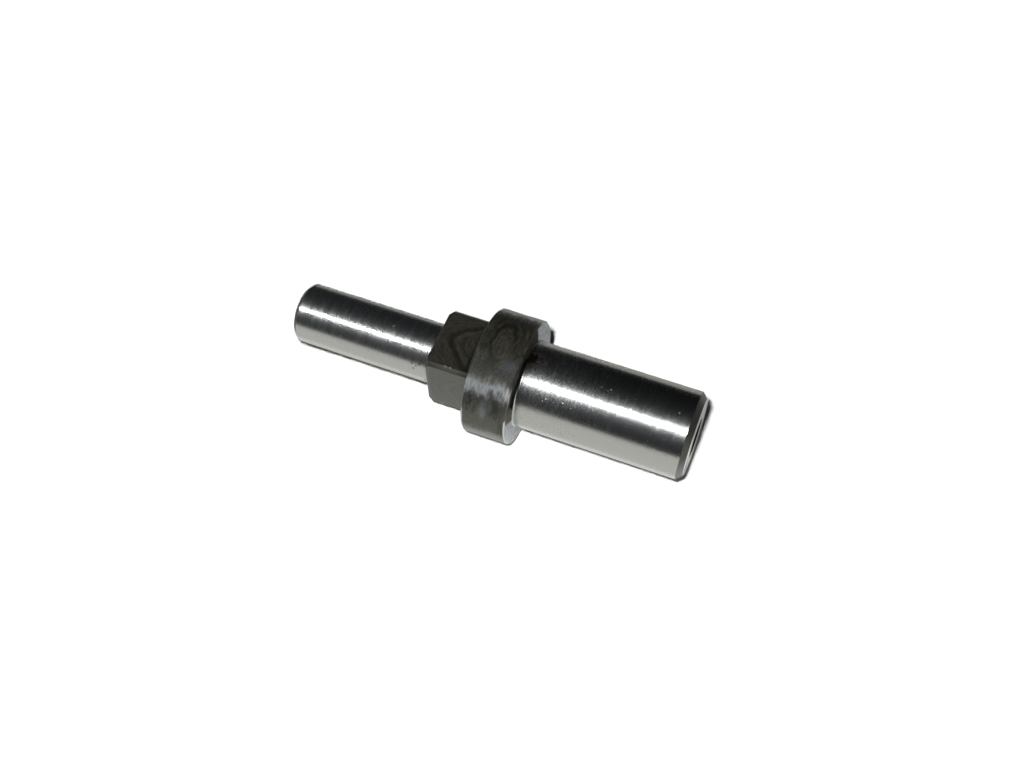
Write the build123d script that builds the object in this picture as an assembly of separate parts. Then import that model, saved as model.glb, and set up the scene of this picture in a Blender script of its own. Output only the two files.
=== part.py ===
from build123d import *
import math
import os

os.makedirs("parts", exist_ok=True)

# Blade pin of a meat grinder, turned, milled and ground from one bar of steel.
# It stands on the end that goes into the feed screw. The axis is Z, the origin
# is the middle of that end face, and X and Y point square to the knife flats.

# Shank, pressed into the nose of the feed screw.
shank_diameter = 17.2
shank_length = 33.4
shank_end_chamfer = 1.2
shank_root_radius = 0.4

# Collar, which stops the shank and backs the knife.
collar_diameter = 24.8
collar_thickness = 9.0
collar_edge_break = 0.3

# Journal, which runs in the middle hole of the hole plate.
journal_diameter = 12.0
journal_length = 29.3
journal_end_chamfer = 0.8
journal_root_radius = 0.3

# Square seat that drives the knife, milled on a turned band. The knife goes on
# over the journal, so each flat stands proud of it. The corner cut is what the
# turned band leaves off each corner of the full square, and the lead chamfer is
# turned on the band, so that it takes off the front of the four corners.
square_flat_over_journal = 0.8
square_corner_cut = 0.47
square_length = 9.4
square_lead_chamfer = 0.7
square_edge_break = 0.2

# Centre holes that both ends were ground between.
centre_cone_angle = 60.0
centre_drill_point = 118.0
shank_centre_mouth = 6.8
shank_centre_pilot = 3.15
shank_pilot_length = 2.8
journal_centre_mouth = 5.3
journal_centre_pilot = 2.5
journal_pilot_length = 2.2

collar_rear = shank_length
collar_front = collar_rear + collar_thickness
square_front = collar_front + square_length
journal_end = square_front + journal_length

shank_radius = shank_diameter / 2
collar_radius = collar_diameter / 2
journal_radius = journal_diameter / 2
square_across_flats = journal_diameter + 2 * square_flat_over_journal
band_radius = square_across_flats / math.sqrt(2) - square_corner_cut


def cone_depth(width, angle):
    return width / math.tan(math.radians(angle / 2))


def centre_hole(mouth, pilot, pilot_length):
    """Steps of a centre hole, as radius and depth, from its tip to its mouth."""
    cone = cone_depth((mouth - pilot) / 2, centre_cone_angle)
    tip = cone_depth(pilot / 2, centre_drill_point)
    return [
        (0, cone + pilot_length + tip),
        (pilot / 2, cone + pilot_length),
        (pilot / 2, cone),
        (mouth / 2, 0),
    ]


shank_centre = centre_hole(shank_centre_mouth, shank_centre_pilot, shank_pilot_length)
journal_centre = centre_hole(
    journal_centre_mouth, journal_centre_pilot, journal_pilot_length
)

# Half section of the turned blank, from the axis out, up the side and back in.
half_section = (
    shank_centre
    + [
        (shank_radius - shank_end_chamfer, 0),
        (shank_radius, shank_end_chamfer),
        (shank_radius, collar_rear),
        (collar_radius - collar_edge_break, collar_rear),
        (collar_radius, collar_rear + collar_edge_break),
        (collar_radius, collar_front - collar_edge_break),
        (collar_radius - collar_edge_break, collar_front),
        (band_radius, collar_front),
        (band_radius, square_front - square_lead_chamfer),
        (band_radius - square_lead_chamfer, square_front),
        (journal_radius, square_front),
        (journal_radius, journal_end - journal_end_chamfer),
        (journal_radius - journal_end_chamfer, journal_end),
    ]
    + [(radius, journal_end - depth) for radius, depth in reversed(journal_centre)]
)


def root_corner(section, radius, height):
    return section.vertices().sort_by_distance((radius, height, 0))[0]


section = make_face(Polyline(*half_section, close=True))
section = fillet(root_corner(section, shank_radius, collar_rear), shank_root_radius)
section = fillet(
    root_corner(section, journal_radius, square_front), journal_root_radius
)
blank = revolve(Plane.XZ * section, Axis.Z)

# Four flats, milled down to the front face of the collar, and the front edge of
# each one broken.
milling_floor = Pos(0, 0, collar_front)
band_stock = extrude(milling_floor * Circle(collar_radius), square_length)
square_bar = extrude(
    milling_floor * Rectangle(square_across_flats, square_across_flats), square_length
)
square_bar = chamfer(
    square_bar.faces().sort_by(Axis.Z)[-1].edges(), square_edge_break
)
pin = blank - (band_stock - square_bar)

pin.label = "blade_pin"
export_step(pin, "parts/blade_pin.step")
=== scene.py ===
import math
from types import SimpleNamespace

import bpy
from mathutils import Matrix, Vector


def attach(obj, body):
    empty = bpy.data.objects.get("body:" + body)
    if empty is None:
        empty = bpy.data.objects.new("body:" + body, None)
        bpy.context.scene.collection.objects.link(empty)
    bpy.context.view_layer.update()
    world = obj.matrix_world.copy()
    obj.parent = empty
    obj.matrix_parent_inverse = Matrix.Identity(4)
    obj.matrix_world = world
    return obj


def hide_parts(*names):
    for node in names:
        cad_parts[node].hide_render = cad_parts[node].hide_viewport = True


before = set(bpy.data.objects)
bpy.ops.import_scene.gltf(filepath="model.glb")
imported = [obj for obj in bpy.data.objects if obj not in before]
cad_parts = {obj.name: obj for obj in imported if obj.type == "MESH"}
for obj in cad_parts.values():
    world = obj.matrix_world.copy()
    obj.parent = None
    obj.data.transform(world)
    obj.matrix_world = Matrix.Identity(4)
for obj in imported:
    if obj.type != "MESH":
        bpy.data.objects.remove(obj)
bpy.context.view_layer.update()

MM = 0.001

# The pin's sizes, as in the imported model: radii and heights above the shank's end face.
SHANK_RADIUS = 8.6 * MM
SHANK_CHAMFER = 1.2 * MM
SHANK_ROOT = 0.4 * MM
COLLAR_RADIUS = 12.4 * MM
COLLAR_BREAK = 0.3 * MM
COLLAR_REAR = 33.4 * MM
COLLAR_FRONT = 42.4 * MM
HALF_FLATS = 6.8 * MM
CORNER_CUT = 0.47 * MM
BAND_RADIUS = HALF_FLATS * math.sqrt(2) - CORNER_CUT
LEAD_CHAMFER = 0.7 * MM
FLAT_BREAK = 0.2 * MM
SQUARE_FRONT = 51.8 * MM
JOURNAL_RADIUS = 6.0 * MM
JOURNAL_CHAMFER = 0.8 * MM
JOURNAL_ROOT = 0.3 * MM
JOURNAL_END = 81.1 * MM

# Centre holes: mouth, pilot and length of the pilot. The angles are from the axis to a side.
SHANK_CENTRE = (6.8 * MM, 3.15 * MM, 2.8 * MM)
JOURNAL_CENTRE = (5.3 * MM, 2.5 * MM, 2.2 * MM)
CONE_SIDE = math.radians(30)
DRILL_POINT_SIDE = math.radians(59)

# Heights of the collar's faces and the journal's end, and the collar's radius, as the
# finishes measure them, in millimetres.
REAR_FACE = COLLAR_REAR / MM
FRONT_FACE = COLLAR_FRONT / MM
END_FACE = JOURNAL_END / MM
RIM = COLLAR_RADIUS / MM

# The line of sight of the photograph, and the way that the paper under the pin faces, as
# directions round the axis in degrees: from the nearest flat, and from the line of sight.
SIGHT_FROM_FLAT = -30.98
PAPER_FROM_SIGHT = 37.0

# The photograph's camera, fitted to the pin's outlines in it: how far it is from the axis
# and above the shank's end, the point it looks at beside the axis and above the end, its
# roll, and its focal length in pixels of a picture this wide.
EYE_DISTANCE = 222.13 * MM
EYE_HEIGHT = -11.47 * MM
AIM_ASIDE = -1.09 * MM
AIM_HEIGHT = 36.42 * MM
ROLL = math.radians(18.033)
FOCAL_PIXELS = 1179.6
PICTURE_WIDTH = 1024
SENSOR_WIDTH = 36

# The strip lamp that the steel mirrors, in two lengths: name, its ends along the axis, its
# angle from the sight and its level. The journal mirrors the far length, which is weaker.
STRIPS = (
    ("strip", -0.165, 0.1, 5.2, 36),
    ("far_strip", 0.1, 0.275, 4.2, 20),
)
STRIP_WIDTH = 0.012
STRIP_DISTANCE = 0.23

# The small lamp by the lens: its radius, its place above and to the left of the lens, its
# level at the distance given, and the height on the axis that it is turned to.
KEY_RADIUS = 0.005
KEY_ABOVE_LENS = 0.014
KEY_LEFT_OF_LENS = 0.0115
KEY_LEVEL = 2.8
KEY_DISTANCE = 0.237
KEY_AIM_HEIGHT = 0.055

# The paper's middle above the shank's end and half its side, and the way to the room's
# faint glow, in degrees from the line of sight.
PAPER_MIDDLE = 0.04
PAPER_HALF_SIDE = 0.6
GLOW_FROM_SIGHT = -36


def round_pin(from_sight):
    """The direction square to the axis at this angle from the line of sight."""
    angle = math.radians(SIGHT_FROM_FLAT + from_sight)
    return Vector((math.sin(angle), -math.cos(angle), 0))


PAPER_NORMAL = round_pin(PAPER_FROM_SIGHT)


# Nodes


def put(tree, kind, inputs=None, **settings):
    """Adds a node. Each input is a value, or another node's output to link."""
    node = tree.nodes.new(kind)
    for name, value in settings.items():
        setattr(node, name, value)
    for key, value in (inputs or {}).items():
        if isinstance(value, bpy.types.NodeSocket):
            tree.links.new(value, node.inputs[key])
        else:
            node.inputs[key].default_value = value
    return node


def math_of(tree, operation, *values):
    node = put(tree, "ShaderNodeMath", dict(enumerate(values)), operation=operation)
    return node.outputs[0]


def chain(tree, operation, values):
    """Works through the values with one operation, from the first to the last."""
    result, *others = values
    for value in others:
        result = math_of(tree, operation, result, value)
    return result


def product(tree, *values):
    return chain(tree, "MULTIPLY", values)


def largest(tree, *values):
    return chain(tree, "MAXIMUM", values)


def total(tree, start, *parts):
    """The start, with each value times its factor added."""
    for value, factor in parts:
        start = math_of(tree, "MULTIPLY_ADD", value, factor, start)
    return start


def rest(tree, share):
    """What the share leaves of one."""
    return math_of(tree, "SUBTRACT", 1.0, share)


def vector(tree, *parts):
    return put(tree, "ShaderNodeCombineXYZ", dict(enumerate(parts))).outputs[0]


def parts_of(tree, whole):
    return put(tree, "ShaderNodeSeparateXYZ", {0: whole}).outputs


def vector_of(tree, operation, *values):
    node = put(tree, "ShaderNodeVectorMath", dict(enumerate(values)), operation=operation)
    return node.outputs["Value" if operation in ("DOT_PRODUCT", "LENGTH") else "Vector"]


def eased_between(tree, value, low, high, at_low=0.0, at_high=1.0):
    """Goes smoothly from one level to the other as the value goes from low to high."""
    inputs = {
        "Value": value,
        "From Min": low,
        "From Max": high,
        "To Min": at_low,
        "To Max": at_high,
    }
    node = put(tree, "ShaderNodeMapRange", inputs, interpolation_type="SMOOTHSTEP")
    return node.outputs["Result"]


def distance_from(tree, value, middle):
    return math_of(tree, "ABSOLUTE", math_of(tree, "SUBTRACT", value, middle))


def hump(tree, value, middle, reach):
    """One in the middle, none beyond the reach on either side."""
    return eased_between(tree, distance_from(tree, value, middle), reach, 0.0)


def noise(tree, place, scale, detail=2.0, swirl=0.0):
    """Even noise about nought, mostly within a half on either side."""
    inputs = {"Vector": place, "Scale": scale, "Detail": detail, "Distortion": swirl}
    node = put(tree, "ShaderNodeTexNoise", inputs)
    return math_of(tree, "SUBTRACT", node.outputs[0], 0.5)


def spots(tree, place, scale, share, size):
    """Round spots in this share of the cells of a grid, one where a spot is deepest."""
    cells = put(tree, "ShaderNodeTexVoronoi", {"Vector": place, "Scale": scale})
    pick = parts_of(tree, cells.outputs["Color"])["X"]
    chosen = math_of(tree, "LESS_THAN", pick, share)
    return product(tree, chosen, eased_between(tree, cells.outputs["Distance"], size, 0.0))


def blend(tree, share, first, second):
    """The first colour, or where the share is one the second."""
    colours = {0: share, 6: first, 7: second}
    for key in (6, 7):
        if isinstance(colours[key], tuple):
            colours[key] = (*colours[key], 1)
    return put(tree, "ShaderNodeMix", colours, data_type="RGBA").outputs[2]


def painted(tree, colour, *coats):
    """The colour under these coats. A coat is where it lies, how much it covers there and
    its own colour."""
    for where, cover, coat in coats:
        share = where if cover == 1.0 else product(tree, where, cover)
        colour = blend(tree, share, colour, coat)
    return colour


def mixed(tree, share, first, second):
    """The first shader, or where the share is one the second."""
    shaders = {0: share, 1: first.outputs[0], 2: second.outputs[0]}
    return put(tree, "ShaderNodeMixShader", shaders)


def pin_coordinates(tree):
    """The place in millimetres, with its parts x, y and z, its radius r, and its angle t in
    degrees from the line of sight, above nought on the photograph's upper side."""
    place = put(tree, "ShaderNodeTexCoord").outputs["Object"]
    in_mm = put(tree, "ShaderNodeVectorMath", {0: place, "Scale": 1000.0}, operation="SCALE")
    in_mm = in_mm.outputs["Vector"]
    part = parts_of(tree, in_mm)
    from_flat = math_of(tree, "ARCTAN2", part["X"], product(tree, part["Y"], -1.0))
    from_sight = math_of(tree, "SUBTRACT", from_flat, math.radians(SIGHT_FROM_FLAT))
    degrees = product(tree, from_sight, 180 / math.pi)
    level = vector_of(tree, "MULTIPLY", in_mm, (1, 1, 0))
    outward = vector_of(tree, "NORMALIZE", level)

    def drawn_out(round_scale, along_scale):
        """A place for streaks: the scales say how fine they are round the pin and along it."""
        low = vector_of(tree, "MULTIPLY", outward, (round_scale, round_scale, 0))
        return vector_of(tree, "MULTIPLY_ADD", in_mm, (0, 0, along_scale), low)

    return SimpleNamespace(
        place=in_mm,
        x=part["X"],
        y=part["Y"],
        z=part["Z"],
        r=vector_of(tree, "LENGTH", level),
        t=math_of(tree, "WRAP", degrees, 180.0, -180.0),
        drawn_out=drawn_out,
    )


def off_middle(tree, pin, height, turn, reach, turn_reach):
    """How far a place on the wall is from the middle of an oval: one on the oval itself. The
    height and its reach are in millimetres, the turn from the line of sight in degrees."""
    up = product(tree, math_of(tree, "SUBTRACT", pin.z, height), 1 / reach)
    on = product(tree, math_of(tree, "SUBTRACT", pin.t, turn), 1 / turn_reach)
    return vector_of(tree, "LENGTH", vector(tree, up, on))


def patch(tree, pin, height, turn, reach, turn_reach, ragged=None, solid=0.3):
    """One in the middle of an oval place on the wall and none outside it. It is solid out to
    that share of its reach, and fades from there."""
    off = off_middle(tree, pin, height, turn, reach, turn_reach)
    if ragged is not None:
        off = math_of(tree, "ADD", off, ragged)
    return eased_between(tree, off, 1.0, solid)


# The pin's mesh: a half section, turned about the axis, with four flats milled on it

FACETS = 540
STRAIGHT = math.radians(179)
SMOOTH_BELOW = math.radians(35)
SAME_POINT = 2e-7

# An edge is eased by this much and a root by its own radius, each in so many steps. A point
# on the wall, so many millimetres beside them, keeps the wall's shading flat.
EASE = 0.06 * MM
EDGE_STEPS, ROOT_STEPS = 3, 6
BESIDE_EDGE = 0.04

# How far from the axis a flat lies where there is none, and the finishes of the walls.
NOT_MILLED = 1.0
TURNED, GROUND, COLLAR = 0, 1, 2


def rounded(before, here, after, easing):
    """Points of an outline round a corner, with one more on the wall at each side."""
    back, on = (before - here).normalized(), (after - here).normalized()
    half = back.angle(on) / 2
    centre = here + (back + on).normalized() * (easing / math.sin(half))
    start = here + back * (easing / math.tan(half)) - centre
    end = here + on * (easing / math.tan(half)) - centre
    steps = ROOT_STEPS if easing > EASE else EDGE_STEPS
    sweep = start.angle_signed(end)
    points = [centre + start + back * BESIDE_EDGE * MM]
    for k in range(steps + 1):
        c, s = math.cos(-sweep * k / steps), math.sin(-sweep * k / steps)
        points.append(centre + Vector((start.x * c - start.y * s, start.x * s + start.y * c)))
    points.append(centre + end + on * BESIDE_EDGE * MM)
    return points


def stations_of(corners):
    """Stations (radius, flat, height, finish) of the half section. A corner is (radius, flat,
    height, easing, finish of the wall from it on). Its flat is how far from the axis the
    milling cuts there, or none, and its edges are eased."""
    stations = []
    finish = corners[0][4]
    for i, (radius, flat, height, easing, next_finish) in enumerate(corners):
        if easing == 0:
            stations.append((radius, NOT_MILLED, height, next_finish))
            finish = next_finish
            continue
        around = corners[i - 1 : i + 2]
        outline = [Vector((c[0], c[2])) for c in around]
        milled = [Vector((c[1], c[2])) for c in around] if all(c[1] for c in around) else None
        straight = (outline[0] - outline[1]).angle(outline[2] - outline[1]) > STRAIGHT
        points = rounded(*(milled if straight else outline), easing)
        for k, point in enumerate(points):
            if straight:
                share = (point.y - outline[0].y) / (outline[2].y - outline[0].y)
                place = (outline[0].lerp(outline[2], share).x, point.x)
            elif flat is None:
                place = (point.x, NOT_MILLED)
            else:
                place = (point.x, flat if milled else flat + point.x - radius)
            wall = finish if 2 * k < len(points) else next_finish
            stations.append((*place, point.y, wall))
        finish = next_finish
    return stations


def centre_hole(mouth, pilot, pilot_length, face, inward):
    """Corners of a centre hole, from its tip out to its mouth in the end face."""
    cone = (mouth - pilot) / 2 / math.tan(CONE_SIDE)
    tip = pilot / 2 / math.tan(DRILL_POINT_SIDE)
    steps = (
        (0, cone + pilot_length + tip, 0),
        (pilot / 2, cone + pilot_length, EASE),
        (pilot / 2, cone, EASE),
        (mouth / 2, 0, EASE),
    )
    return [(radius, None, face + inward * depth, ease, TURNED) for radius, depth, ease in steps]


def half_section():
    """Corners from the tip of the shank's centre hole, up the walls, to the journal's one."""
    lead_radius = BAND_RADIUS - LEAD_CHAMFER
    return [
        *centre_hole(*SHANK_CENTRE, 0, 1),
        (SHANK_RADIUS - SHANK_CHAMFER, None, 0, EASE, TURNED),
        (SHANK_RADIUS, None, SHANK_CHAMFER, EASE, GROUND),
        (SHANK_RADIUS, None, COLLAR_REAR, SHANK_ROOT, COLLAR),
        (COLLAR_RADIUS - COLLAR_BREAK, None, COLLAR_REAR, EASE, COLLAR),
        (COLLAR_RADIUS, None, COLLAR_REAR + COLLAR_BREAK, EASE, COLLAR),
        (COLLAR_RADIUS, None, COLLAR_FRONT - COLLAR_BREAK, EASE, COLLAR),
        (COLLAR_RADIUS - COLLAR_BREAK, None, COLLAR_FRONT, EASE, COLLAR),
        (BAND_RADIUS, HALF_FLATS, COLLAR_FRONT, EASE, TURNED),
        (BAND_RADIUS, HALF_FLATS, SQUARE_FRONT - LEAD_CHAMFER, EASE, TURNED),
        (lead_radius + FLAT_BREAK, HALF_FLATS, SQUARE_FRONT - FLAT_BREAK, EASE, TURNED),
        (lead_radius, HALF_FLATS - FLAT_BREAK, SQUARE_FRONT, EASE / 2, TURNED),
        (JOURNAL_RADIUS, None, SQUARE_FRONT, JOURNAL_ROOT, GROUND),
        (JOURNAL_RADIUS, None, JOURNAL_END - JOURNAL_CHAMFER, EASE, TURNED),
        (JOURNAL_RADIUS - JOURNAL_CHAMFER, None, JOURNAL_END, EASE, TURNED),
        *reversed(centre_hole(*JOURNAL_CENTRE, JOURNAL_END, -1)),
    ]


def section_mesh():
    stations = stations_of(half_section())
    mesh = bpy.data.meshes.new("half_section")
    mesh.from_pydata([(radius, 0, height) for radius, _, height, _ in stations], [], [])
    for column, name in ((1, "flat"), (3, "finish")):
        values = mesh.attributes.new(name, "FLOAT", "POINT")
        values.data.foreach_set("value", [float(station[column]) for station in stations])
    return mesh


def lathe_and_mill():
    """Turns the half section about the axis, cuts the flats and gives each wall its finish."""
    tree = bpy.data.node_groups.new("lathe_and_mill", "GeometryNodeTree")
    face = tree.interface
    face.new_socket(name="Half Section", in_out="INPUT", socket_type="NodeSocketGeometry")
    face.new_socket(name="Facets", in_out="INPUT", socket_type="NodeSocketInt")
    for name in ("Turned Steel", "Ground Steel", "Collar Steel", "Milled Steel"):
        face.new_socket(name=name, in_out="INPUT", socket_type="NodeSocketMaterial")
    face.new_socket(name="Pin", in_out="OUTPUT", socket_type="NodeSocketGeometry")
    given = put(tree, "NodeGroupInput").outputs

    def at_station(value, index, kind="FLOAT"):
        found = put(tree, "GeometryNodeSampleIndex", data_type=kind, domain="POINT")
        sources = {"Geometry": given["Half Section"], "Value": value, "Index": index}
        for name, source in sources.items():
            tree.links.new(source, found.inputs[name])
        return found.outputs["Value"]

    def written(name):
        return put(tree, "GeometryNodeInputNamedAttribute", {"Name": name}).outputs["Attribute"]

    def kept(geometry, **values):
        node = put(tree, "GeometryNodeCaptureAttribute", {0: geometry})
        for name, value in values.items():
            node.capture_items.new("FLOAT", name)
            tree.links.new(value, node.inputs[name])
        return node.outputs

    # A flat sheet, with a row for each station and a column for each facet.
    size = put(tree, "GeometryNodeAttributeDomainSize", {0: given["Half Section"]}).outputs
    columns = math_of(tree, "ADD", given["Facets"], 1)
    rows = size["Point Count"]
    sides = {"Size X": 1.0, "Size Y": 1.0, "Vertices X": columns, "Vertices Y": rows}
    sheet = put(tree, "GeometryNodeMeshGrid", sides)
    place = put(tree, "GeometryNodeInputPosition").outputs[0]
    on_sheet = parts_of(tree, place)
    last = math_of(tree, "SUBTRACT", rows, 1)
    row = product(tree, math_of(tree, "ADD", on_sheet["Y"], 0.5), last)
    turn = product(tree, math_of(tree, "ADD", on_sheet["X"], 0.5), math.tau)
    drawn = kept(sheet.outputs["Mesh"], row=row, turn=turn)
    row, turn = drawn["row"], drawn["turn"]

    # Each row takes its station's radius, held back where a flat comes nearer the axis.
    station = math_of(tree, "ROUND", row)
    here = parts_of(tree, at_station(place, station, "FLOAT_VECTOR"))
    from_middle = math_of(tree, "WRAP", turn, math.pi / 4, -math.pi / 4)
    flat = at_station(written("flat"), station)
    reach = math_of(tree, "DIVIDE", flat, math_of(tree, "COSINE", from_middle))
    radius = math_of(tree, "MINIMUM", here["X"], reach)
    cut = kept(drawn["Geometry"], cut=math_of(tree, "LESS_THAN", reach, here["X"]))
    x = product(tree, radius, math_of(tree, "COSINE", turn))
    y = product(tree, radius, math_of(tree, "SINE", turn))
    spun = {"Geometry": cut["Geometry"], "Position": vector(tree, x, y, here["Z"])}
    body = put(tree, "GeometryNodeSetPosition", spun).outputs[0]
    merged = {"Geometry": body, "Distance": SAME_POINT}
    body = put(tree, "GeometryNodeMergeByDistance", merged).outputs[0]

    # Sharp edges stay sharp.
    angle = put(tree, "GeometryNodeInputMeshEdgeAngle").outputs["Unsigned Angle"]
    soft = math_of(tree, "LESS_THAN", angle, SMOOTH_BELOW)
    body = put(tree, "GeometryNodeSetShadeSmooth", {"Geometry": body}).outputs[0]
    smoothed = {"Geometry": body, "Shade Smooth": soft}
    body = put(tree, "GeometryNodeSetShadeSmooth", smoothed, domain="EDGE").outputs[0]

    # A wall has its first station's finish, and every flat the milled one.
    wall = at_station(written("finish"), math_of(tree, "FLOOR", row))
    choices = (
        ("Turned Steel", math_of(tree, "GREATER_THAN", wall, -1.0)),
        ("Ground Steel", math_of(tree, "COMPARE", wall, float(GROUND), 0.1)),
        ("Collar Steel", math_of(tree, "COMPARE", wall, float(COLLAR), 0.1)),
        ("Milled Steel", math_of(tree, "GREATER_THAN", cut["cut"], 0.6)),
    )
    for name, where in choices:
        chosen = {"Geometry": body, "Selection": where, "Material": given[name]}
        body = put(tree, "GeometryNodeSetMaterial", chosen).outputs[0]
    put(tree, "NodeGroupOutput", {0: body})
    return tree


def make_pin(**finishes):
    holder = bpy.data.objects.new("section_holder", section_mesh())
    bpy.context.scene.collection.objects.link(holder)
    modifier = holder.modifiers.new("lathe_and_mill", "NODES")
    modifier.node_group = lathe_and_mill()
    values = {"Facets": FACETS}
    values.update((name.replace("_", " ").title(), finish) for name, finish in finishes.items())
    for socket in modifier.node_group.interface.items_tree:
        if socket.name in values:
            modifier[socket.identifier] = values[socket.name]
    ready = holder.evaluated_get(bpy.context.evaluated_depsgraph_get())
    mesh = bpy.data.meshes.new_from_object(ready)
    mesh.name = "pin"
    # The first slot is the half section's own, and empty.
    mesh.materials.pop(index=0)
    bpy.data.objects.remove(holder)
    pin = bpy.data.objects.new("pin", mesh)
    bpy.context.scene.collection.objects.link(pin)
    return pin


# Finishes. A place on a wall is a height in millimetres above the shank's end and an angle
# in degrees from the line of sight.

# Dents on the ground walls that catch the light: height, angle, reach in millimetres.
DENTS = (
    (18.6, 23.0, 0.27),
    (17.3, 21.0, 0.26),
    (16.8, 23.5, 0.20),
    (12.0, 29.0, 0.16),
    (7.2, 37.0, 0.16),
    (6.1, 31.0, 0.15),
    (3.6, 22.0, 0.17),
    (24.4, -9.5, 0.20),
    (27.6, -11.5, 0.14),
    (26.1, -12.4, 0.10),
    (25.3, -7.4, 0.12),
    (29.4, -8.2, 0.10),
    (22.7, -13.2, 0.11),
    (30.6, -12.6, 0.09),
    (28.3, -15.6, 0.09),
    (55.2, 29.5, 0.22),
    (60.9, 24.0, 0.14),
)

# Patches: height, angle, reach in millimetres, reach in degrees.

# Dark marks on the journal next to the square.
JOURNAL_MARKS = (
    (55.3, -32.0, 0.35, 4.0),
    (54.4, -35.0, 0.25, 3.0),
    (54.9, -42.0, 0.30, 3.5),
    (53.8, -30.5, 0.35, 4.0),
    (52.5, -67.0, 0.35, 6.0),
)

# A dark brown spot on the shank at the collar, and painted shade round it in the corner.
DARK_SPOT = (32.4, 33.0, 4.2, 18.0)
SHADE_BY_SPOT = (33.4, 24.0, 3.0, 32.0)

# Bright nicks on the nearest corner of the square.
NICKS = (
    (47.7, -10.6, 0.5, 1.6),
    (46.7, -10.8, 0.35, 1.2),
)

# On the collar: where the film is thin, and pale, dark and rusty places below it.
THIN_FILM = (35.2, 8.0, 2.1, 9.0)
PALE_MARKS = (
    (38.2, -36.0, 1.4, 15.0),
    (36.7, -32.0, 0.7, 8.0),
)
DARK_MARK = (40.6, -32.0, 2.6, 15.0)
FAINT_DARK_MARK = (36.0, -34.5, 1.8, 13.0)
RUST = (38.7, -24.0, 1.3, 5.0)

# The oval that the collar's film dried in. Its rings are counted from there.
DRIED_OVAL = (38.1, 27.0, 2.0, 20.0)

# The colour of the painted shade in the centre holes.
HOLE_SHADE = (0.006, 0.006, 0.005)


def new_finish(name):
    material = bpy.data.materials.new(name)
    material.use_nodes = True
    tree = material.node_tree
    return material, tree, tree.nodes["Principled BSDF"], pin_coordinates(tree)


def fill(tree, shader, colour, rough, metal, relief, specular):
    shader.inputs["Specular IOR Level"].default_value = specular
    sources = {"Base Color": colour, "Roughness": rough, "Metallic": metal, "Normal": relief}
    for name, source in sources.items():
        tree.links.new(source, shader.inputs[name])


def raised(tree, *layers):
    """A surface with these layers of relief, each a height and how many metres one is."""
    surface = None
    for height, metres in layers:
        inputs = {"Height": height, "Distance": metres, "Strength": 1.0}
        if surface is not None:
            inputs["Normal"] = surface
        surface = put(tree, "ShaderNodeBump", inputs).outputs[0]
    return surface


def ground_steel():
    """Ground walls: fine streaks round the pin, sandier next to the collar, a few dents and
    dark specks, a dark brown spot, and painted shade in the corner under the collar."""
    material, tree, shader, pin = new_finish("ground_steel")
    streaks = noise(tree, pin.drawn_out(4.5, 3.4), 1.0, 3.0)
    sand = noise(tree, pin.drawn_out(19.0, 3.4), 1.0, 1.0)
    waves = noise(tree, pin.place, 0.7, 2.0)
    on_journal = eased_between(tree, pin.z, 45.0, 52.0)

    def changing(on_shank, at_journal):
        """One level on the shank and another on the journal."""
        return eased_between(tree, on_journal, 0.0, 1.0, on_shank, at_journal)

    def dent(height, turn, reach):
        wall = SHANK_RADIUS if height < FRONT_FACE else JOURNAL_RADIUS
        at = round_pin(turn) * (wall / MM)
        off = vector_of(tree, "SUBTRACT", pin.place, (at.x, at.y, height))
        return eased_between(tree, vector_of(tree, "LENGTH", off), reach, 0.0)

    near_collar = product(tree, eased_between(tree, pin.z, 17.0, 28.0), rest(tree, on_journal))
    sandy = eased_between(tree, pin.z, 14.0, 28.0, 0.4, 1.0)
    sandy = product(tree, sandy, changing(1.0, 0.06))
    grit = product(tree, eased_between(tree, sand, -0.08, 0.25), sandy)
    specks = spots(tree, pin.drawn_out(9.0, 1.1), 1.0, 0.035, 0.3)
    dents = largest(tree, *(dent(*place) for place in DENTS))

    # The dark brown spot is darkest, and no longer shines as metal does, in its middle.
    ragged = noise(tree, pin.place, 0.9, 3.0)
    frayed = total(tree, ragged, (noise(tree, pin.place, 2.4, 3.0), 0.7))
    dark_spot = patch(tree, pin, *DARK_SPOT, frayed, 0.0)
    browned = eased_between(tree, dark_spot, 0.0, 0.9)
    # Painted shade round the dark spot, in the corner under the collar.
    painted_shade = patch(tree, pin, *SHADE_BY_SPOT, ragged, 0.2)
    # Painted shade: the corner at the collar's root is painted near black on the side in sight.
    corner_shade = hump(tree, pin.z, REAR_FACE - 0.1, 0.35)
    corner_shade = product(tree, corner_shade, eased_between(tree, pin.t, -28.0, -5.0))
    steel = painted(
        tree,
        (0.60, 0.605, 0.60),
        (specks, 0.4, (0.13, 0.10, 0.07)),
        *((patch(tree, pin, *mark), 0.7, (0.10, 0.075, 0.06)) for mark in JOURNAL_MARKS),
        (painted_shade, 0.6, (0.13, 0.11, 0.09)),
        (corner_shade, 1.0, (0.04, 0.04, 0.04)),
        (math_of(tree, "POWER", browned, 0.4), 1.0, (0.0045, 0.003, 0.0008)),
    )
    metal = total(tree, 1.0, (math_of(tree, "POWER", browned, 3.0), -0.6))

    uneven = product(tree, streaks, changing(0.12, 0.0))
    clouded = product(tree, noise(tree, pin.drawn_out(2.0, 1.2), 1.0, 0.0), on_journal)
    rough = math_of(tree, "ADD", total(tree, 0.235, (on_journal, 0.033)), uneven)
    rough = total(
        tree, rough, (clouded, 0.07), (grit, 0.06), (near_collar, 0.02), (dark_spot, 0.35)
    )
    relief = raised(
        tree,
        (product(tree, streaks, changing(1.3, 0.15)), 1e-6),
        (product(tree, waves, changing(1.0, 0.4)), 20e-6),
        (product(tree, sand, sandy), 3.2e-6),
        (product(tree, dents, -1.0), 45e-6),
    )
    fill(tree, shader, steel, rough, metal, relief, specular=0.1)
    return material


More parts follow.
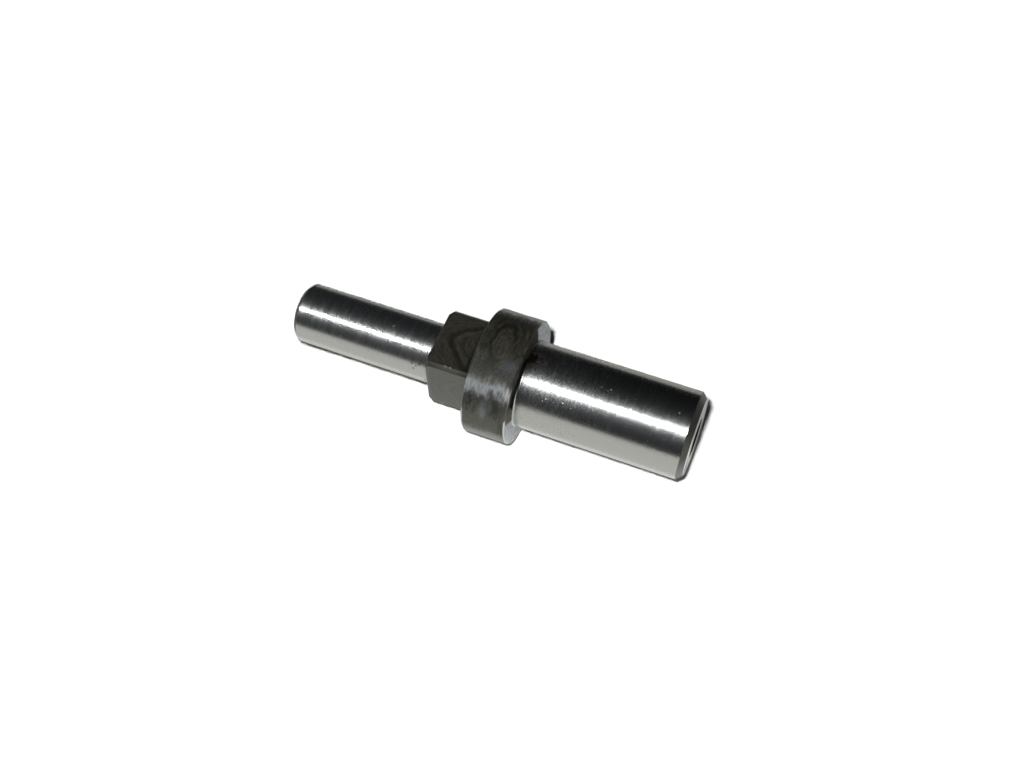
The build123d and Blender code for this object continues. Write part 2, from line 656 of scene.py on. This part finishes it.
def turned_steel():
    """Turned walls and the square's corners: dull and grey brown from oxide, painted paler as
    reflection on the lower side and over the top, bright on the two end faces with a painted
    highlight round the shank's face, and painted black as shade in the centre holes."""
    material, tree, shader, pin = new_finish("turned_steel")
    rings = noise(tree, pin.drawn_out(1.5, 7.0), 1.0, 3.0)
    face_rings = noise(tree, vector(tree, pin.r), 6.0, 3.0)
    cloud = noise(tree, pin.place, 0.45, 3.0)
    # Painted reflection: the lower side and the top are painted paler.
    reflection_sides = largest(
        tree,
        eased_between(tree, pin.t, -28.0, -66.0),
        eased_between(tree, pin.t, 45.0, 75.0, 0.0, 0.6),
    )
    # Between the chamfers, only the square's corners reach out this far.
    on_corners = hump(tree, pin.z, 47.0, 5.6)
    on_corners = product(tree, on_corners, eased_between(tree, pin.r, 8.9, 9.0))
    nicks = largest(tree, *(patch(tree, pin, *nick) for nick in NICKS))
    oxide = math_of(tree, "ADD", cloud, 0.5)
    dull = painted(
        tree,
        blend(tree, oxide, (0.065, 0.067, 0.064), (0.135, 0.134, 0.122)),
        (reflection_sides, 0.7, (0.25, 0.26, 0.29)),
        (on_corners, 0.75, (0.235, 0.237, 0.185)),
        (nicks, 1.0, (0.75, 0.76, 0.74)),
    )

    on_face = largest(
        tree,
        eased_between(tree, pin.z, 0.12, 0.03),
        eased_between(tree, pin.z, END_FACE - 0.12, END_FACE - 0.03),
    )
    # Painted shade: a centre hole is painted black, and the black goes a little past its mouth.
    black_radius = eased_between(tree, pin.z, 20.0, 60.0, 3.75, 2.68)
    in_hole = eased_between(tree, math_of(tree, "SUBTRACT", pin.r, black_radius), 0.2, 0.0)
    # A painted highlight on the outer rim of the shank's end face.
    rim_highlight = eased_between(tree, pin.r, 7.1, 7.25)
    turned = math_of(tree, "ADD", face_rings, 0.5)
    bright = painted(
        tree,
        blend(tree, turned, (0.44, 0.47, 0.50), (0.74, 0.77, 0.80)),
        (rim_highlight, 1.0, (0.90, 0.91, 0.91)),
        (in_hole, 1.0, HOLE_SHADE),
    )
    colour = painted(tree, dull, (in_hole, 0.92, HOLE_SHADE), (on_face, 1.0, bright))
    rough = total(tree, 0.45, (rings, 0.2), (on_face, -0.22), (in_hole, 0.4))
    relief = raised(tree, (rings, 2e-6))
    fill(tree, shader, colour, rough, rest(tree, in_hole), relief, specular=0.1)
    return material


def collar_grain(tree, pin):
    """The patterns that the collar's looks share, and the angle swayed by them."""
    brushed = noise(tree, pin.drawn_out(7.0, 2.2), 1.0, 3.0)
    cloud = noise(tree, pin.place, 0.42, 3.0, 0.6)
    speckle = noise(tree, pin.place, 3.0, 3.0)
    return SimpleNamespace(
        brushed=brushed,
        cloud=cloud,
        speckle=speckle,
        fine_lines=noise(tree, pin.drawn_out(4.0, 9.0), 1.0, 2.0),
        ragged=product(tree, noise(tree, pin.drawn_out(14.0, 1.6), 1.0, 3.0), 1.5),
        mottle=math_of(tree, "ADD", total(tree, brushed, (speckle, 1.5)), 0.5),
        swayed=total(tree, pin.t, (brushed, 13.0), (cloud, 8.0)),
    )


def collar_film(tree, pin, grain):
    """Where the film lies, from the line of sight to over the top, and its colour."""
    lower_edge = eased_between(tree, pin.z, 35.2, 33.8, 0.0, 9.0)
    lower_edge = math_of(tree, "ADD", grain.swayed, lower_edge)
    film = product(
        tree,
        eased_between(tree, lower_edge, -11.0, 1.5),
        eased_between(tree, grain.swayed, 72.0, 56.0),
    )

    # The marks that it dried in: an arch, open on one side, with fainter ones inside and
    # round it, and a leg slanting away from it.
    ring = off_middle(tree, pin, *DRIED_OVAL)
    ring = total(tree, ring, (noise(tree, pin.place, 0.5, 1.5), 0.8))
    open_side = eased_between(tree, pin.z, 37.9, 36.9)
    open_side = product(tree, open_side, eased_between(tree, pin.t, 34.0, 27.0))
    closed = eased_between(tree, open_side, 0.0, 1.0, 1.0, 0.15)
    arch = product(tree, hump(tree, ring, 1.0, 0.33), closed)
    faint = largest(tree, hump(tree, ring, 0.5, 0.25), hump(tree, ring, 1.6, 0.3))
    slant = total(tree, pin.z, (pin.t, -0.11), (grain.cloud, 1.2))
    leg = product(tree, hump(tree, slant, 37.6, 0.55), hump(tree, pin.t, 11.0, 15.0))
    marks = largest(tree, product(tree, arch, 0.9), leg, product(tree, faint, 0.4))
    broken = eased_between(tree, grain.speckle, -0.3, 0.1, 0.45, 1.0)

    swirl = noise(tree, vector(tree, product(tree, ring, 3.5), product(tree, pin.t, 0.06)), 1.0)
    tone = total(
        tree,
        0.5,
        (grain.brushed, 1.8),
        (swirl, 1.5),
        (grain.speckle, 2.3),
        (eased_between(tree, ring, 1.0, 0.7), 0.3),
        # Round the line of sight the film is painted darker, as painted shade against the
        # highlight.
        (hump(tree, pin.t, 3.0, 9.0), -0.35),
    )
    reddish = eased_between(tree, noise(tree, pin.place, 2.0), 0.06, 0.2, 0.0, 0.35)
    over_top = eased_between(tree, pin.t, 44.0, 58.0, 0.0, 0.45)
    thin = patch(tree, pin, *THIN_FILM, grain.ragged, 0.0)
    brown = painted(
        tree,
        blend(tree, tone, (0.008, 0.0078, 0.0055), (0.042, 0.0415, 0.031)),
        (reddish, 1.0, (0.032, 0.021, 0.015)),
        (over_top, 1.0, (0.010, 0.0105, 0.0105)),
        (product(tree, marks, broken), 1.0, (0.003, 0.0024, 0.0012)),
        (thin, 0.6, (0.040, 0.050, 0.063)),
    )
    return film, brown


def bare_collar(tree, pin, grain):
    """The collar's wall without the film: worn bare and painted bright as a highlight in a band
    just under it, mottled below that, painted paler as reflection right at the bottom and
    over the top, and dull behind."""

    def spot(place):
        return patch(tree, pin, *place, grain.ragged, 0.0)

    blotches = eased_between(tree, noise(tree, pin.drawn_out(1.6, 0.7), 1.0), -0.05, 0.2)
    pale_marks = largest(tree, *(spot(mark) for mark in PALE_MARKS))
    # Worn bare steel in a band under the film, painted brighter where the highlight falls.
    stripes = total(tree, 0.75, (grain.brushed, 2.6))
    worn_and_highlit = product(tree, hump(tree, grain.swayed, -16.0, 12.0), stripes)
    dark_marks = largest(
        tree,
        product(tree, spot(DARK_MARK), eased_between(tree, grain.brushed, -0.14, 0.12)),
        product(tree, spot(FAINT_DARK_MARK), 0.6),
    )
    # Painted reflection: the lower side and the top are painted paler, and the back takes the
    # lower side's colour.
    round_back = eased_between(tree, pin.t, 95.0, 140.0)
    at_low = largest(tree, eased_between(tree, grain.swayed, -58.0, -72.0), round_back)
    over_top = eased_between(tree, grain.swayed, 56.0, 72.0)
    over_top = product(tree, over_top, rest(tree, round_back))
    behind = product(
        tree,
        eased_between(tree, grain.cloud, -0.4, 0.5),
        eased_between(tree, math_of(tree, "ABSOLUTE", pin.t), 85.0, 110.0, 0.0, 0.7),
    )
    low = blend(tree, grain.mottle, (0.34, 0.35, 0.355), (0.54, 0.55, 0.555))
    top = blend(tree, grain.mottle, (0.60, 0.61, 0.57), (0.84, 0.85, 0.80))
    return painted(
        tree,
        blend(tree, grain.mottle, (0.13, 0.13, 0.108), (0.215, 0.22, 0.204)),
        (blotches, 0.55, (0.085, 0.09, 0.075)),
        (pale_marks, 1.0, (0.27, 0.285, 0.30)),
        (worn_and_highlit, 1.0, (0.70, 0.725, 0.745)),
        (dark_marks, 0.92, (0.050, 0.056, 0.050)),
        (spot(RUST), 0.45, (0.15, 0.105, 0.06)),
        (at_low, 1.0, low),
        (over_top, 1.0, top),
        (behind, 1.0, (0.10, 0.097, 0.082)),
    )


def collar_rear_face(tree, pin, grain):
    """The rear face's colour and how much duller its painted shade is. The face is bare, but
    painted dark as shade in a wide crescent on the side in sight, and black inside that."""
    wobble = noise(tree, pin.place, 0.8, 3.0)

    def crescent(middle, tips, widest, edge, sway, fade):
        """Goes out to its edge where it is widest, and in to the shank at its tips, both in
        degrees from its middle."""
        off = distance_from(tree, pin.t, middle)
        outside = eased_between(tree, off, tips, widest, SHANK_RADIUS / MM - 0.2, edge)
        outside = total(tree, outside, (wobble, sway))
        return eased_between(tree, math_of(tree, "SUBTRACT", pin.r, outside), fade, -fade)

    # Painted shade: a dark crescent on the side in sight, and a black one inside it.
    painted_shade = crescent(5.0, 68.0, 44.0, 13.0, 2.0, 0.6)
    deep_shade = crescent(-5.0, 38.0, 22.0, 11.1, 1.4, 0.3)
    mottled = total(tree, 0.55, (noise(tree, pin.place, 1.6, 3.0), 2.6))
    thinner = eased_between(tree, pin.t, -18.0, -42.0, 0.0, 0.6)
    shade_colour = blend(tree, grain.mottle, (0.035, 0.034, 0.028), (0.085, 0.082, 0.068))
    shade_colour = blend(tree, thinner, shade_colour, (0.30, 0.29, 0.24))
    colour = painted(
        tree,
        blend(tree, mottled, (0.30, 0.34, 0.40), (0.74, 0.79, 0.87)),
        (painted_shade, 1.0, shade_colour),
        (deep_shade, 1.0, (0.012, 0.012, 0.012)),
    )
    return colour, largest(tree, product(tree, deep_shade, 0.55), product(tree, painted_shade, 0.35))


def edges_rubbed_and_highlit(tree, pin, grain, front):
    """Where both edges of the rim are rubbed and painted bright as a highlight, and the painted
    glints of flecks by the rear one.
    """
    rear_edge = eased_between(tree, pin.z, REAR_FACE + 0.45, REAR_FACE + 0.3)
    rear_edge = product(tree, rear_edge, eased_between(tree, pin.r, RIM - 0.28, RIM - 0.14))
    front_edge = eased_between(tree, pin.z, FRONT_FACE - 0.5, FRONT_FACE - 0.32, 0.0, 0.6)
    in_streaks = eased_between(tree, grain.fine_lines, -0.1, 0.05)
    # Painted highlight: the rubbed edges are painted bright on the lower side and where the
    # highlight falls.
    rubbed_and_highlit = largest(
        tree,
        eased_between(tree, grain.swayed, -38.0, -46.0),
        product(tree, hump(tree, pin.t, -17.0, 10.0), in_streaks),
    )
    at_edge = largest(tree, rear_edge, front_edge)
    rubbed_and_highlit = product(tree, rubbed_and_highlit, at_edge, rest(tree, front))
    # Painted glints: bright flecks, no metal, by the rear edge.
    glint_flecks = product(
        tree,
        hump(tree, pin.z, 34.0, 0.55),
        hump(tree, pin.t, -15.0, 9.0),
        eased_between(tree, grain.fine_lines, -0.08, 0.04),
    )
    return largest(tree, rubbed_and_highlit, glint_flecks), glint_flecks


def collar_steel():
    """The collar: a dark film on the upper side, worn bare with a painted highlight in a band
    under it, dull below. The rear face has painted shade round the shank, and the front face
    is plain."""
    material, tree, shader, pin = new_finish("collar_steel")
    grain = collar_grain(tree, pin)
    film, brown = collar_film(tree, pin, grain)
    rear = eased_between(tree, pin.z, REAR_FACE + 0.1, REAR_FACE + 0.03)
    rear_colour, matt = collar_rear_face(tree, pin, grain)
    front = eased_between(tree, pin.z, FRONT_FACE - 0.07, FRONT_FACE - 0.01)
    front_colour = blend(tree, grain.mottle, (0.24, 0.245, 0.23), (0.36, 0.365, 0.35))
    rubbed_and_highlit, glint_flecks = edges_rubbed_and_highlit(tree, pin, grain, front)
    colour = painted(
        tree,
        bare_collar(tree, pin, grain),
        (math_of(tree, "POWER", film, 0.4), 1.0, brown),
        (rear, 1.0, rear_colour),
        (front, 1.0, front_colour),
        (rubbed_and_highlit, 1.0, (0.85, 0.86, 0.86)),
    )
    rough = total(
        tree, 0.5, (grain.brushed, 0.18), (rear, -0.15), (matt, rear), (rubbed_and_highlit, -0.12)
    )

    # The film is no metal, and isn't on the faces or where the edges are rubbed and painted
    # highlit.
    film = product(tree, film, rest(tree, largest(tree, rear, front, rubbed_and_highlit)))
    metal = total(tree, 1.0, (film, -0.95), (glint_flecks, -0.8))
    relief = raised(tree, (grain.fine_lines, 2.5e-6), (grain.brushed, 6e-6))
    fill(tree, shader, colour, rough, metal, relief, specular=0.3)
    return material


def milled_steel():
    """The four flats. The cutter's path and the film dried on it make a row of arches. The
    film is on the flat that is uppermost in the camera's view, with painted shade on it next
    to the collar."""
    material, tree, shader, pin = new_finish("milled_steel")
    wide_x, wide_y = (math_of(tree, "ABSOLUTE", side) for side in (pin.x, pin.y))
    faces_y = math_of(tree, "GREATER_THAN", wide_y, wide_x)
    on_y = product(tree, pin.x, math_of(tree, "SIGN", pin.y), -1.0, faces_y)
    on_x = product(tree, pin.y, math_of(tree, "SIGN", pin.x), rest(tree, faces_y))
    across = math_of(tree, "ADD", on_x, on_y)

    # Height of an arch over the flat: it falls away from the middle as a bow does on one
    # side, and more and more as a straight line does on the other.
    steepness, bend = 1.1, 1.2
    bow = math_of(tree, "POWER", largest(tree, across, 0.0), 2.0)
    line = math_of(tree, "POWER", math_of(tree, "MINIMUM", across, 0.0), 2.0)
    line = math_of(tree, "SQRT", math_of(tree, "ADD", line, bend**2))
    arch = total(tree, pin.z, (bow, 0.255), (line, steepness))
    arch = math_of(tree, "SUBTRACT", arch, steepness * bend)
    arch = total(tree, arch, (noise(tree, pin.place, 0.4), 1.6))
    along_arch = vector(tree, product(tree, arch, 2.2), product(tree, across, 0.7))
    fibre = noise(tree, along_arch, 1.0, 3.0)
    speckle = noise(tree, pin.place, 3.2, 3.0)
    tone = total(
        tree,
        0.45,
        (fibre, 1.9),
        (speckle, 1.5),
        (hump(tree, arch, 47.9, 0.6), 0.25),
        (hump(tree, arch, 46.6, 0.5), -0.3),
    )

    film = eased_between(tree, pin.y, -6.2, -6.5)
    reddish = eased_between(tree, noise(tree, pin.place, 1.8), 0.06, 0.2, 0.0, 0.4)
    dark_line = hump(tree, total(tree, arch, (speckle, 1.6)), 49.15, 1.25)
    brown = painted(
        tree,
        blend(tree, tone, (0.010, 0.0095, 0.007), (0.046, 0.0445, 0.035)),
        (reddish, 1.0, (0.034, 0.023, 0.017)),
        (dark_line, 0.82, (0.007, 0.006, 0.004)),
    )
    front_edge = eased_between(tree, pin.z, 50.7, 51.5, 0.0, 0.5)
    steel = blend(tree, tone, (0.146, 0.153, 0.143), (0.200, 0.206, 0.196))
    steel = blend(tree, front_edge, steel, (0.24, 0.255, 0.27))
    # Painted shade on the flat in sight, next to the collar.
    collar_shade = eased_between(tree, total(tree, pin.z, (speckle, 0.5)), 44.4, 43.9, 0.0, 0.85)
    collar_shade = product(tree, collar_shade, film)
    colour = painted(tree, steel, (film, 1.0, brown), (collar_shade, 1.0, (0.006, 0.0055, 0.0045)))
    rough = total(tree, 0.42, (fibre, 0.1))
    metal = total(tree, 1.0, (film, -0.9))
    relief = raised(tree, (fibre, 1.5e-6))
    fill(tree, shader, colour, rough, metal, relief, specular=0.4)
    return material


pin = make_pin(
    turned_steel=turned_steel(),
    ground_steel=ground_steel(),
    collar_steel=collar_steel(),
    milled_steel=milled_steel(),
)


# Camera, paper and light


def photo_camera():
    """Makes the photograph's viewpoint, and gives its place, its right and its top."""
    eye = round_pin(0) * EYE_DISTANCE + Vector((0, 0, EYE_HEIGHT))
    aim = round_pin(90) * AIM_ASIDE + Vector((0, 0, AIM_HEIGHT))
    forward = (aim - eye).normalized()
    level_right = (Vector((0, 0, -1)) + forward.z * forward).normalized()
    level_up = level_right.cross(forward)
    right = math.cos(ROLL) * level_right + math.sin(ROLL) * level_up
    up = -math.sin(ROLL) * level_right + math.cos(ROLL) * level_up
    data = bpy.data.cameras.new("camera")
    data.sensor_width = SENSOR_WIDTH
    data.lens = FOCAL_PIXELS * SENSOR_WIDTH / PICTURE_WIDTH
    data.clip_start, data.clip_end = 0.01, 10
    camera = bpy.data.objects.new("camera", data)
    turn = Matrix((right, up, -forward)).transposed()
    camera.matrix_world = Matrix.Translation(eye) @ turn.to_4x4()
    bpy.context.scene.collection.objects.link(camera)
    bpy.context.scene.camera = camera
    return eye, right, up


def paper():
    """White paper that the collar touches, clear from behind. The steel sees it glow with
    painted light and shade: it ends not far in front of the pin, is light beside the pin, has
    a painted shadow right under it, and is brighter past the end of the shank."""
    across = Vector((0, 0, 1)).cross(PAPER_NORMAL)
    middle = Vector((0, 0, PAPER_MIDDLE)) - PAPER_NORMAL * COLLAR_RADIUS
    corners = [
        middle + (across * x + Vector((0, 0, z))) * PAPER_HALF_SIDE
        for x, z in ((-1, -1), (1, -1), (1, 1), (-1, 1))
    ]
    mesh = bpy.data.meshes.new("paper")
    mesh.from_pydata(corners, [], [(0, 1, 2, 3)])
    sheet = bpy.data.objects.new("paper", mesh)
    bpy.context.scene.collection.objects.link(sheet)

    material = bpy.data.materials.new("paper")
    material.use_nodes = True
    tree = material.node_tree
    tree.nodes.clear()
    ray = put(tree, "ShaderNodeLightPath").outputs
    side = put(tree, "ShaderNodeNewGeometry").outputs
    place = put(tree, "ShaderNodeTexCoord").outputs["Object"]
    # Millimetres beside the pin and above the shank's end.
    beside = product(tree, vector_of(tree, "DOT_PRODUCT", place, tuple(across)), 1000.0)
    height = product(tree, parts_of(tree, place)["Z"], 1000.0)
    # Painted light and shade in the glow: brighter on the near side, a painted bright line beside
    # the pin, a painted shadow right under it, and brighter past the shank's end.
    level = eased_between(tree, beside, 3.0, 9.0, 0.66, 0.38)
    level = total(tree, level, (hump(tree, beside, -7.5, 3.0), 0.3))
    level = product(
        tree,
        level,
        eased_between(tree, beside, -125.0, -75.0, 0.02, 1.0),
        eased_between(tree, math_of(tree, "ABSOLUTE", beside), 1.0, 5.0, 0.6, 1.0),
        eased_between(tree, height, -1.0, -12.0, 1.0, 1.6),
    )
    seen = put(tree, "ShaderNodeEmission", {"Color": (1, 0.995, 0.93, 1), "Strength": level})
    lit = put(tree, "ShaderNodeBsdfDiffuse", {"Color": (1, 1, 1, 1)})
    clear = put(tree, "ShaderNodeBsdfTransparent")
    front = mixed(tree, ray["Is Glossy Ray"], lit, seen)
    surface = mixed(tree, side["Backfacing"], front, clear)
    put(tree, "ShaderNodeOutputMaterial", {0: surface.outputs[0]})
    mesh.materials.append(material)
    return sheet


def room():
    """White to the camera. The steel sees a dark room, paler overhead and underneath, with
    a faint glow between the strip and the paper's edge."""
    world = bpy.data.worlds.new("room")
    bpy.context.scene.world = world
    world.use_nodes = True
    tree = world.node_tree
    tree.nodes.clear()
    ray = put(tree, "ShaderNodeLightPath").outputs
    to = put(tree, "ShaderNodeTexCoord").outputs["Generated"]
    up = parts_of(tree, to)["Z"]
    to_glow = vector_of(tree, "DOT_PRODUCT", to, tuple(round_pin(GLOW_FROM_SIGHT)))
    parts = (
        eased_between(tree, up, 0.6, 0.98, 0.006, 0.4),
        eased_between(tree, up, -0.4, -0.95, 0.0, 0.15),
        eased_between(tree, up, 0.15, 0.32, 0.0, 0.016),
        eased_between(tree, to_glow, 0.72, 0.95, 0.0, 0.026),
    )
    # Next to nothing of it lights the paper.
    level = product(tree, chain(tree, "ADD", parts), largest(tree, ray["Is Glossy Ray"], 0.04))
    room_light = put(tree, "ShaderNodeBackground", {0: (0.86, 0.96, 1, 1), 1: level})
    white = put(tree, "ShaderNodeBackground", {0: (1, 1, 1, 1), 1: 1.0})
    surface = mixed(tree, ray["Is Camera Ray"], room_light, white)
    put(tree, "ShaderNodeOutputWorld", {0: surface.outputs[0]})


def placed(name, data, location, at):
    """Adds a lamp that shines at a point, with its own Y towards the journal's end."""
    lamp = bpy.data.objects.new(name, data)
    away = (location - at).normalized()
    side = Vector((0, 0, 1)).cross(away).normalized()
    turn = Matrix((side, away.cross(side), away)).transposed()
    lamp.matrix_world = Matrix.Translation(location) @ turn.to_4x4()
    bpy.context.scene.collection.objects.link(lamp)
    return lamp


def lamps(eye, right, up):
    # A long bright strip in front of the pin, that only the steel sees.
    for name, low, high, turn, level in STRIPS:
        strip = bpy.data.lights.new(name, "AREA")
        strip.shape = "RECTANGLE"
        strip.size, strip.size_y = STRIP_WIDTH, high - low
        strip.energy = level * math.pi * strip.size * strip.size_y
        strip.color = (0.97, 0.985, 1.0)
        middle = Vector((0, 0, (low + high) / 2))
        lamp = placed(name, strip, middle + round_pin(turn) * STRIP_DISTANCE, middle)
        lamp.visible_diffuse = False
        lamp.visible_camera = False

    # A small lamp just up and left of the lens. It grows stronger with distance, so that the
    # paper is as white at its edges as in the middle.
    key = bpy.data.lights.new("key", "POINT")
    key.shadow_soft_size = KEY_RADIUS
    key.energy = 1.0
    key.use_nodes = True
    tree = key.node_tree
    tree.nodes.clear()
    length = put(tree, "ShaderNodeLightPath").outputs["Ray Length"]
    growth = math_of(tree, "POWER", math_of(tree, "DIVIDE", length, KEY_DISTANCE), 3.0)
    glow = put(tree, "ShaderNodeEmission", {0: (1, 1, 1, 1), 1: product(tree, growth, KEY_LEVEL)})
    put(tree, "ShaderNodeOutputLight", {0: glow.outputs[0]})
    beside_lens = eye + up * KEY_ABOVE_LENS - right * KEY_LEFT_OF_LENS
    lamp = placed("key", key, beside_lens, Vector((0, 0, KEY_AIM_HEIGHT)))
    lamp.visible_glossy = False


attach(pin, "root")
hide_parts("blade_pin")
paper()
room()
lamps(*photo_camera())
bpy.context.scene.view_settings.view_transform = "Standard"
